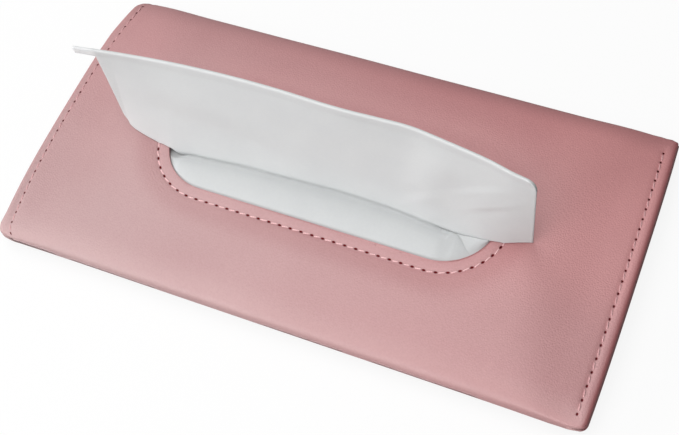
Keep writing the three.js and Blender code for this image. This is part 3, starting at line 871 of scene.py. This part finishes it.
def tabTop(x, y, side):
    # The patch lies on the band, and steps up to the leather past the band's sides and end
    past = np.maximum(np.abs(x - side * strap["centre"]) - strap["width"] / 2,
                      np.abs(y) - strap["halfSpan"])
    under = skinHeight(x, y, -1) - 2 * backDepth - strap["thickness"]
    return under + smooth(past, tab["stepStart"], tab["side"]) * strap["thickness"]


def tabPatch(side, end):
    half = strap["width"] / 2 + tab["side"]
    ys = end * np.linspace(strap["halfSpan"] - tab["overlap"], strap["halfSpan"] + tab["overhang"], 19)
    x, y = crossed(side * strap["centre"] + np.linspace(-half, half, 33), np.sort(ys))
    top = tabTop(x, y, side)
    return solidGrid(x, y, top, top - tab["thickness"])


elastic = elasticFinish()
for sideName, side in bothEnds:
    node = f"strap_{sideName}"
    bevel(makePiece(node + "_elastic", elasticBand(side), elastic, "sleeve", [node]), 0.2)
    for endName, end in bothSides:
        node = f"strap_tab_{sideName}_{endName}"
        bevel(makePiece(node + "_leather", tabPatch(side, end), plainLeather, "sleeve", [node]), 0.25)
print("straps made")


# Threads
thread = dict(
    along=(-1, -0.82, -0.5, 0, 0.5, 0.82, 1), around=6, slant=8, squash=0.8, dive=0.5,
    thinnest=0.03)
# Length, width and lift of the stitches of each row
stitchSizes = dict(
    slot=(slotPitch * 0.66, 0.55, 0.1), end=(3.0, 0.62, 0.1),
    flap=(flap["pitch"] * 0.72, 0.5, 0.02), hinge=(3.0, 0.5, 0.05), tab=(2.0, 0.5, 0.05))


def stitches(name, row, body, finish, size):
    # Each stitch is a short thread: a tube that is fullest in the middle and dives at both ends.
    # A row holds their middles, the ways that they run and the ways that are up there.
    (centres, tangents, ups), (length, width, lift) = row, size
    along = np.array(thread["along"])
    around = np.linspace(0, 2 * math.pi, thread["around"], endpoint=False)
    radius = width / 2 * roundOff(along, 4, thread["thinnest"])
    height = lift * (1 - along ** 4) - thread["dive"] * width * along ** 8
    a, t = np.meshgrid(around, along)
    r, h = radius[:, None], height[:, None]
    slant = math.tan(math.radians(thread["slant"]))
    template = sideBySide(t * length / 2, np.cos(a) * r + t * length / 2 * slant,
                         np.sin(a) * r * thread["squash"] + h)
    tangents = tangents / np.linalg.norm(tangents, axis=1)[:, None]
    ups = ups - (ups * tangents).sum(1)[:, None] * tangents
    ups = ups / np.linalg.norm(ups, axis=1)[:, None]
    axes = np.stack([tangents, np.cross(ups, tangents), ups], 1)
    points = centres[:, None, None, :] + np.einsum("ijk,nkl->nijl", template, axes)
    one = gridFaces(len(along), len(around), False, True).tolist()
    one += [list(range(len(around)))[::-1], list(range(a.size - len(around), a.size))]
    faces = [[corner + n * a.size for corner in face] for n in range(len(centres)) for face in one]
    makePiece(name, (points, faces), finish, body)


def threadFinish(name, dark, light):
    finish = Finish(name, "leather", 0.6, Sheen_Weight=0.2)
    twist = (finish.x * 7.0 + finish.y * 7.0).sine() * 0.5 + 0.5
    finish.dress(twist.mix(dark, light), twist, 0.05)
    return finish


slotThread = threadFinish("slot thread", (232, 184, 186), (244, 204, 204))
seamThread = threadFinish("seam thread", (200, 150, 152), (216, 168, 169))


def skinNormal(x, y, side):
    step = 0.5
    dx = (skinHeight(x + step, y, side) - skinHeight(x - step, y, side)) / (2 * step)
    dy = (skinHeight(x, y + step, side) - skinHeight(x, y - step, side)) / (2 * step)
    return side * sideBySide(-dx, -dy, np.ones_like(dx))


def pointingDown(count):
    return np.tile([0, 0, -1.0], (count, 1))


def rowAt(place, at, reach=0.3):
    # The places of a row, and the way that it runs at each
    return place(at), place(at + reach) - place(at - reach)


def slotStitchRow():
    half = 2 * slotQuarter
    numbers = np.arange(int(4 * slotCut["stitchesPerQuarter"]))
    run = half - slotCut["shift"] - (numbers + 0.5) * slotPitch

    def place(s):
        # Round the slot from the middle of its far side, clockwise seen from above
        s = np.mod(s, 2 * half)
        turned = np.where(s < half, 1.0, -1.0)        # the left half is the right one turned about
        inside = np.mod(s, half)
        fold = np.minimum(inside, half - inside)
        angle = np.maximum(fold - slotStraight, 0) / stitchRadius
        x = np.minimum(fold, slotStraight) + stitchRadius * np.sin(angle)
        y = stitchRadius * np.cos(angle) * np.where(inside > slotQuarter, -1.0, 1.0)
        return sideBySide(x * turned, y * turned)

    here, way = rowAt(place, run, 0.4)
    x, y = here.T
    return sideBySide(x, y, crownFace(x, y)), levelRow(way, 0), skinNormal(x, y, 1)


def endStitchRow(side, face):
    # Centres of the stitches between the holes of one end, on its top or its underside
    marks = np.array(endSeam["right" if side > 0 else "left"])
    between = np.interp(np.arange(marks[-1, 0]) + 0.5, marks[:, 0], marks[:, 1])

    def place(y):
        x = side * (sleeve["halfLength"] - seamInset(side, y))
        x = x - side * setback(x, y)
        z = crownFace(x, y) if face > 0 else skinHeight(x, y, face) + endValley(x, y)
        return sideBySide(x, y, z)

    here, way = rowAt(place, between)
    return here, way, skinNormal(here[:, 0], between, face)


def flapStitchRow():
    # Round the flap, but for its hinge side
    length, along = alongLine(flapLoop(flap["seamInset"]), True)
    at = np.arange(0, length - flap["pitch"] / 2, flap["pitch"])
    here, way = rowAt(lambda s: along(np.mod(s, length)), at)
    keep = here[:, 1] > flap["nearY"] + flap["seamInset"] + 1
    centres = levelRow(here[keep], flap["bottom"] + flap["rowRise"])
    return centres, levelRow(way[keep], 0), pointingDown(keep.sum())


def hingeStitchRow():
    reach = hinge["stitchesEachSide"]
    x = np.arange(-reach, reach + 1) * hinge["stitchPitch"]
    y = np.full(len(x), hinge["stitchY"])
    z = skinHeight(x, y, -1) - backDepth - flap["leather"]
    return sideBySide(x, y, z), np.tile([1.0, 0, 0], (len(x), 1)), skinNormal(x, y, -1)


def tabStitchRow(side, end):
    # Round three sides of a patch, from the inner corner of one side to that of the other
    across = strap["width"] / 2 + tab["rowSide"]
    near, far = strap["halfSpan"] - tab["rowNear"], strap["halfSpan"] + tab["rowFar"]
    length, along = alongLine(np.array([(-across, near), (-across, far), (across, far), (across, near)]))

    def place(s):
        x, y = along(s).T
        x, y = side * strap["centre"] + x, end * y
        return sideBySide(x, y, tabTop(x, y, side) - tab["thickness"])

    here, way = rowAt(place, np.arange(tab["rowStart"], length, tab["pitch"]))
    return here, way, pointingDown(len(here))


stitches("slot_stitches", slotStitchRow(), "sleeve", slotThread, stitchSizes["slot"])
for sideName, side in bothEnds:
    for faceName, face in (("top", 1), ("under", -1)):
        stitches(f"end_stitches_{sideName}_{faceName}", endStitchRow(side, face), "sleeve", seamThread,
                 stitchSizes["end"])
stitches("flap_stitches", flapStitchRow(), "flap", seamThread, stitchSizes["flap"])
stitches("flap_hinge_stitches", hingeStitchRow(), "sleeve", seamThread, stitchSizes["hinge"])
for sideName, side in bothEnds:
    for endName, end in bothSides:
        stitches(f"tab_stitches_{sideName}_{endName}", tabStitchRow(side, end), "sleeve", seamThread,
                 stitchSizes["tab"])
print("stitches made")


# Tissues
# hem is the colour of a painted highlight on the hem's top and the tip
paper = dict(
    colour=(205, 207, 207), shade=(199, 201, 202), hem=(229, 230, 231), hemTop=(54.0, 54.6),
    hemShare=0.4, tip=(88.0, 91.0), tipShare=0.75)


def paperFinish():
    # Crepe of fine short ridges over a soft cloudy thickness
    p = paper
    finish = Finish("tissue paper", "tissue", 0.9, rgb(*p["colour"]), Sheen_Weight=0.15)
    crepe = finish.noise(0.9, 3.0, 0.6, stretch=(1.0, 1.0, 2.6))
    cloud = finish.noise(0.06, 3.0)
    clouded = (cloud * 0.6 + crepe * 0.4).step(0.2, 0.8).mix(p["shade"], p["colour"])
    # Painted highlight: the top of the standing tissue's hem and its tip are whiter, where they face up
    # to the light
    tip = (finish.x * -1).step(*p["tip"]) * p["tipShare"]
    paintedHighlight = (finish.z.step(*p["hemTop"]) * p["hemShare"]).most(tip)
    finish.dress(paintedHighlight.mix(clouded, p["hem"]), crepe * 0.7 + finish.noise(3.0, 2.0) * 0.3, 0.05)
    return finish


paperWhite = paperFinish()

sheet = dict(
    left=84.4, leftFlare=5.2, right=78.2, top=55.0, corner=4.0, tip=7.9, tipStart=0.915,
    tipEnd=0.922, footLeft=82.8, footCutHeight=8.8, footCutPower=10, leftClimb=4.5, rightClimb=14.0,
    thickness=0.4, hemThickness=1.1, hemStart=0.9, hemEnd=0.985, cadThickness=0.8, seat=0.95,
    climbEnd=0.6, belly=1.7, bellyRise=2.0, bellyFall=9.0, bellyX=(42, 72), crumple=6.0, gap=0.3,
    stations=280, hemRound=5, thinnest=0.02)
# Plan of the sheet at its foot and at its top, as shares of half the slot's length and width
footShares = np.array([(-1.29, -0.13), (-1.236, -0.222), (-1.156, -0.295), (-1.095, -0.332),
                       (-1.03, -0.36), (-0.972, -0.392), (-0.93, -0.4), (-0.88, -0.377),
                       (-0.83, -0.345), (-0.7, -0.31), (-0.5, -0.25), (-0.3, -0.235), (0.1, -0.185),
                       (0.39, -0.205), (0.7, -0.297), (0.8, -0.318), (0.877, -0.33), (0.938, -0.344),
                       (0.99, -0.325), (1.06, -0.28), (1.13, -0.205), (1.22, -0.11)])
# The same line without the crumples that only its foot has
evenShares = np.array([(-1.29, -0.13), (-1.1, -0.31), (-0.85, -0.35), (-0.5, -0.26), (0.1, -0.19),
                       (0.7, -0.28), (1.0, -0.3), (1.22, -0.11)])
topShares = np.array([(-1.5, 0.06), (-1.23, 0.18), (-0.92, 0.28), (-0.6, 0.335), (-0.3, 0.34),
                      (0.0, 0.307), (0.15, 0.304), (0.3, 0.32), (0.49, 0.327), (0.69, 0.243),
                      (0.92, 0.124), (1.08, 0.0), (1.22, -0.07)])
# Soft folds pressed into the sheet: both ends as (x, height share), width and height. Those with
# a height below zero are valleys.
softFolds = [((-62, 0.72), (-7, 0.32), 5.0, 0.5), ((-74, 0.44), (-19, 0.29), 4.5, -0.5),
             ((-50, 0.88), (20, 0.6), 9.0, 0.3), ((45, 0.8), (36, 0.3), 7.0, 0.8),
             ((36, 0.3), (42, 0.05), 7.0, 0.7), ((58, 0.62), (62, 0.4), 9.0, 0.5),
             ((54, 0.44), (60, 0.6), 1.5, -0.06), ((58, 0.3), (68, 0.42), 1.5, -0.07),
             ((60, 0.2), (72, 0.28), 1.6, -0.07), ((66, 0.6), (74, 0.72), 2.0, -0.08),
             ((10, 0.5), (36, 0.36), 5.0, 0.25)]
foldFades = ((-0.15, 0.2), (0.8, 1.15))     # where a fold comes in and goes out, as shares of its line
sheetClear = 37.0     # height of the sheet over the crown, for lines that are drawn on it
sheetRowHeights = np.concatenate([
    np.linspace(0, 0.2, 26)[:-1], np.linspace(0.2, sheet["hemStart"], 36)[:-1],
    np.linspace(sheet["hemStart"], sheet["hemEnd"], 16)[:-1],
    blendTo(sheet["hemEnd"], 1, np.sin(np.linspace(0, math.pi / 2, 8)))])


def smoothLine(points, count):
    # Smooth curve through all of the points: a cubic between each two, level with its neighbours'
    # mean slope at both of its ends
    last = len(points) - 1
    t = np.linspace(0, last, count)
    i = np.minimum(t.astype(int), last - 1)
    w = (t - i)[:, None]
    p0, p1, p2, p3 = (points[np.clip(i + k, 0, last)] for k in (-1, 0, 1, 2))
    v0, v1 = (p2 - p0) / 2, (p3 - p1) / 2
    return ((2 * p1 - 2 * p2 + v0 + v1) * w ** 3 + (3 * p2 - 3 * p1 - 2 * v0 - v1) * w ** 2
            + v0 * w + p1)


def lineAcross(shares):
    line = smoothLine(shares * (slotCut["halfX"], slotCut["radius"]), 400)
    return lambda x: np.interp(x, line[:, 0], line[:, 1])


footY = lineAcross(footShares)
evenFootY = lineAcross(evenShares)
sheetTopY = lineAcross(topShares)


def packTop(x, y):
    return skinHeight(x, y, 1, packDepth)


def foldRelief(x, height):
    # Each fold is a rounded ridge along its line, which fades at both ends
    total = np.zeros_like(x)
    for start, end, width, rise in softFolds:
        a, b = (np.array([p[0], p[1] * sheetClear]) for p in (start, end))
        length = np.hypot(*(b - a))
        along = (b - a) / length
        dx, dz = x - a[0], height * sheetClear - a[1]
        run = (dx * along[0] + dz * along[1]) / length
        aside = dx * along[1] - dz * along[0]
        shown = smooth(run, *foldFades[0]) * (1 - smooth(run, *foldFades[1]))
        total += rise * bell(aside, width) * shown
    return total


def sheetMiddle(share, height):
    # Share runs along the sheet, height from its foot to its top fold. The foot stands on the
    # next tissue inside the slot, and on the leather past the slot's ends.
    p = sheet
    belowCut = np.maximum(1 - height * p["top"] / p["footCutHeight"], 0)
    footCut = (p["left"] - p["footLeft"]) * belowCut ** 2 * (1 - share) ** p["footCutPower"]
    left = -p["left"] - p["leftFlare"] * height - p["tip"] * smooth(height, p["tipStart"], p["tipEnd"])
    x = blendTo(left, p["right"], share) + footCut
    foot = footY(x)
    end = slotStraight + otherSide(slotCut["radius"], foot)
    climb = np.where(x > 0, p["rightClimb"], p["leftClimb"])
    inSlot = 1 - smooth(np.abs(x), end - climb, end - p["climbEnd"])
    onLeather = np.maximum(*(crownFace(x, y) for y in (foot, foot + p["cadThickness"])))
    footZ = blendTo(onLeather + p["gap"], packTop(x, foot) + p["seat"], inSlot)
    past = np.maximum(x - (p["right"] - p["corner"]), 0)
    drop = p["corner"] - otherSide(p["corner"], past)
    z = blendTo(footZ, p["top"] - drop, height)
    # It bellies out over the next tissue, and the crumples of its foot die out upwards
    lift = np.maximum(z - footZ, 0)
    belly = p["belly"] * (1 - np.exp(-lift / p["bellyRise"])) * np.exp(-lift / p["bellyFall"])
    belly = belly * (1 - smooth(np.abs(x), *p["bellyX"]))
    deep = packTop(x, foot) + p["seat"]
    even = evenFootY(x)
    y = blendTo(even, sheetTopY(x), (z - deep) / (p["top"] - deep))
    free = np.sqrt(np.sin(np.pi * np.clip(height, 0, 1)))
    y = y + (foot - even) * np.exp(-lift / p["crumple"]) - belly - foldRelief(x, height) * free
    return sideBySide(x, y, z)


def standingSheet():
    p = sheet
    share, height = crossed(np.linspace(0, 1, p["stations"]), sheetRowHeights)
    x, y, z = np.moveaxis(sheetMiddle(share, height), -1, 0)
    half = blendTo(p["thickness"], p["hemThickness"], smooth(height, p["hemStart"], p["hemEnd"])) / 2
    # The hem's top is rounded over
    over = np.clip((height - p["hemEnd"]) / (1 - p["hemEnd"]), 0, 1)
    half = half * roundOff(over, p["hemRound"], p["thinnest"])
    return solidGrid(x, y - half, z, z, y + half)


sheetPiece = makePiece("standing_tissue", standingSheet(), paperWhite, "sheet", ["tissue_sheet"])

# The next tissue: its rounded fold fills the near half of the slot. Heights are over the pack.
nextFold = dict(
    left=-62.6, right=59.5, room=0.05, wedge=1.6, wedgeX=(54, 62), narrowest=0.4, meetHeight=2.0,
    meetGap=0.06, leftRound=6, rightRound=7, endShare=0.25, underside=0.05, hollow=1.5,
    hollowStart=(-60, -54), hollowEnd=(42.0, 48.0), stations=(221, 57), crowding=1.6,
    shares=(0, 0.04, 0.12, 0.3, 0.5, 0.65, 0.78, 0.9, 1),
    heights=(2.0, 2.45, 2.75, 3.0, 3.0, 2.75, 2.1, 1.2, 0.6))
# Its right end is rounded, as (x, y), and open to view past the sheet's foot, so it is rounded down
foldEnd = np.array([(49.0, -5.4), (51.5, -5.9), (53.6, -7.1), (55.4, -8.6), (57.2, -10.2), (58.6, -11.6),
                    (59.5, -13.2)])
openEnd = dict(run=3, slope=0.9, power=5, height=2.2, base=0.1)
nextCorner = dict(
    left=46.0, right=64.6, room=0.15, gap=0.08, narrowest=0.2, rise=0.55, swell=0.5, slope=0.4,
    overFoot=0.3, thickness=0.35, stations=(41, 21))


def slotNearY(x, room):
    radius = slotCut["radius"] - room
    past = np.maximum(np.abs(x) - slotStraight, 0)
    return -otherSide(radius, past)


def nearFace(lift):
    # The line of the standing tissue's near face at one height over the pack, as x and y
    share, height = crossed(np.linspace(0, 1, 300), np.linspace(0, 0.3, 60))
    x, y, level = np.moveaxis(sheetMiddle(share, height), -1, 0)
    target = packTop(x[:, 0], footY(x[:, 0])) + lift
    rows = np.argmin(np.abs(level - target[:, None]), axis=1)
    at = np.arange(len(x))
    return x[at, rows], y[at, rows] - sheet["thickness"] / 2


def foldProfile(share):
    line = smoothLine(np.column_stack([nextFold["shares"], nextFold["heights"]]), 200)
    return np.interp(share, line[:, 0], line[:, 1])


def nextTissue():
    n, o = nextFold, openEnd
    half, middle = (n["right"] - n["left"]) / 2, (n["right"] + n["left"]) / 2
    stations, rows = n["stations"]
    along = middle + np.sin(np.linspace(-math.pi / 2, math.pi / 2, stations)) * half
    x, share = crossed(along, 1 - np.linspace(1, 0, rows) ** n["crowding"])
    meet = np.interp(x, *nearFace(n["meetHeight"])) - n["meetGap"]
    far = np.where(x < foldEnd[0, 0], meet, np.interp(x, foldEnd[:, 0], foldEnd[:, 1]))
    far = far - n["wedge"] * smooth(-x, *n["wedgeX"])
    near = slotNearY(x, n["room"])
    far = np.maximum(far, near + n["narrowest"])
    y = blendTo(near, far, share)
    ends = np.sqrt(np.clip((x - n["left"]) / n["leftRound"], 0, 1)) \
        * np.sqrt(np.clip((n["right"] - x) / n["rightRound"], 0, 1))
    across = foldProfile(share)
    isOpen = smooth(x, foldEnd[0, 0] - o["run"], foldEnd[0, 0] + o["run"])
    rounded = roundOff(share, o["power"]) * o["height"] + o["base"]
    rise = blendTo(across, np.minimum(across + o["slope"] * share, rounded), isOpen)
    rise = rise * blendTo(n["endShare"], 1, ends)
    # Its far edge turns up against the standing tissue in a soft hollow
    toFace = np.clip(1 - (far - y) / n["hollow"], 0, 1)
    hollow = n["hollow"] * (1 - np.sqrt(1 - toFace ** 2))
    rise = rise + hollow * (1 - smooth(x, *n["hollowEnd"])) * smooth(x, *n["hollowStart"])
    level = packTop(x, y)
    return solidGrid(x, y, level + rise, level + n["underside"])


def nextTissueCorner():
    # The lower ply of the next tissue shows past the rounded end as a flat corner
    c = nextCorner
    a, s = crossed(*(np.linspace(0, 1, count) for count in c["stations"]))
    x = blendTo(c["left"], c["right"], a)
    near = slotNearY(x, c["room"])
    footX, foot, footZ = sheetMiddle(np.linspace(0, 1, 400), 0.0).T
    far = np.interp(x, footX, foot) - sheet["thickness"] / 2 - c["gap"]
    y = blendTo(near, np.maximum(far, near + c["narrowest"]), s)
    swell = c["swell"] * np.sin(np.pi * s) * np.sin(np.pi * a)
    flat = packTop(x, y) + c["rise"] + swell + c["slope"] * a
    z = blendTo(flat, np.maximum(flat, np.interp(x, footX, footZ) + c["overFoot"]), s ** 2)
    return solidGrid(x, y, z, z - c["thickness"])


makePiece("next_tissue", nextTissue(), paperWhite, "sleeve", ["tissue_next"])
makePiece("next_tissue_corner", nextTissueCorner(), paperWhite, "sleeve")

pack = dict(
    halfX=91, halfY=48.5, radius=3, spine=45, layers=14, foldDepth=0.5,
    under=(0, 0.2, 0.4, 0.6, 0.8, 0.94),
    over=(0.94, 0.85, 0.75, 0.65, 0.55, 0.45, 0.35, 0.25, 0.15, 0.07, 0))


def foldedPack():
    # Stack of folded tissues: its long sides are a row of rounded folds
    p = pack
    outline = roundedLoop(p["halfX"], -p["halfY"], p["halfY"], p["radius"], p["radius"])
    spine = roundedLoop(p["spine"], 0, 0)

    def row(share, level, inset):
        x, y = blendTo(spine, outline * (1 - inset / p["halfX"], 1 - inset / p["halfY"]), share).T
        return sideBySide(x, y, blendTo(skinHeight(x, y, -1, packDepth), packTop(x, y), level))

    rows = [row(share, 0, 0) for share in p["under"]]
    for level in np.linspace(0, 1, p["layers"] * 4 + 1):
        rows.append(row(1, level, p["foldDepth"] * abs(math.cos(level * p["layers"] * math.pi))))
    return stackedLoops(rows + [row(share, 1, 0) for share in p["over"]])


makePiece("folded_tissues", foldedPack(), paperWhite, "sleeve", ["tissue_pack"], 0.005)
print("tissues made")


# Kept CAD nodes
steel = Finish("nickel", "magnet", 0.3, rgb(176, 179, 184), Metallic=1.0)
steel.set("Roughness", steel.noise(0.5, 3.0) * 0.2 + 0.22)
for finish, kept in ((steel, ("back_magnet_left", "back_magnet_right", "flap_magnet_left",
                              "flap_magnet_right")),
                     (boardFinish, ("back_board", "flap_board"))):
    for name in kept:
        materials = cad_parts[name].data.materials
        materials.clear()
        materials.append(finish.material)


# Floor and light, in metres and watts
studio = dict(floorHalf=3.0, floorZ=-0.0002, bounce=0.35, floorGrey=0.9, floorGlow=0.88, sky=0.11,
              lights=(("overhead", (0, 0, 1.1), 0.8, 4.7),
                      ("upper left", (-0.38, 0.36, 0.97), 0.6, 2.7),
                      ("low left", (-0.98, -0.15, 0.26), 0.8, 4.7),
                      ("upper front", (-0.3, -0.58, 0.85), 0.6, 2.7),
                      ("low front left", (-0.5, -0.95, 0.16), 0.5, 3.2),
                      ("low front", (0.05, -1.0, 0.1), 0.55, 4.1)))


def grey(value):
    return (value, value, value, 1)


def shaderMix(share, first, second):
    return first.node("ShaderNodeMixShader", {0: share, 1: first, 2: second})


def makeFloor():
    # The camera sees it almost white from above and clear from below. Light bounces off a darker grey.
    half, z = studio["floorHalf"], studio["floorZ"]
    mesh = bpy.data.meshes.new("floor")
    mesh.from_pydata([(-half, -half, z), (half, -half, z), (half, half, z), (-half, half, z)], [],
                     [(0, 1, 2, 3)])
    floor = bpy.data.objects.new("floor", mesh)
    scene.collection.objects.link(floor)
    material = bpy.data.materials.new("pale floor")
    material.use_nodes = True
    tree = material.node_tree
    base = Signal(tree, None)
    bounce, plain = (base.node("ShaderNodeBsdfDiffuse", {"Color": grey(studio[key])})
                     for key in ("bounce", "floorGrey"))
    white = base.node("ShaderNodeEmission", {"Color": grey(1), "Strength": 1.0})
    clear = base.node("ShaderNodeBsdfTransparent")
    seen = base.node("ShaderNodeLightPath", output="Is Camera Ray")
    below = base.node("ShaderNodeNewGeometry", output="Backfacing")
    lit = shaderMix(seen, bounce, shaderMix(studio["floorGlow"], plain, white))
    base.link(shaderMix(below, lit, clear), tree.nodes["Material Output"].inputs["Surface"])
    floor.data.materials.append(material)


def areaLight(name, place, size, power):
    # A round lamp that is turned to the middle of the floor
    data = bpy.data.lights.new(name, "AREA")
    data.shape, data.size, data.energy = "DISK", size, power
    lamp = bpy.data.objects.new(name, data)
    lamp.rotation_euler = (-Vector(place)).to_track_quat("-Z", "Y").to_euler()
    lamp.location = place
    scene.collection.objects.link(lamp)


def makeWorld():
    # White to the camera, and a weak light for everything else
    world = bpy.data.worlds.new("studio")
    scene.world = world
    world.use_nodes = True
    tree = world.node_tree
    base = Signal(tree, None)
    weak, white = (base.node("ShaderNodeBackground", {"Color": grey(1), "Strength": strength})
                   for strength in (studio["sky"], 1.0))
    seen = base.node("ShaderNodeLightPath", output="Is Camera Ray")
    base.link(shaderMix(seen, weak, white), tree.nodes["World Output"].inputs["Surface"])


makeFloor()
for light in studio["lights"]:
    areaLight(*light)
makeWorld()
scene.view_settings.view_transform = "Standard"
print("stage made")
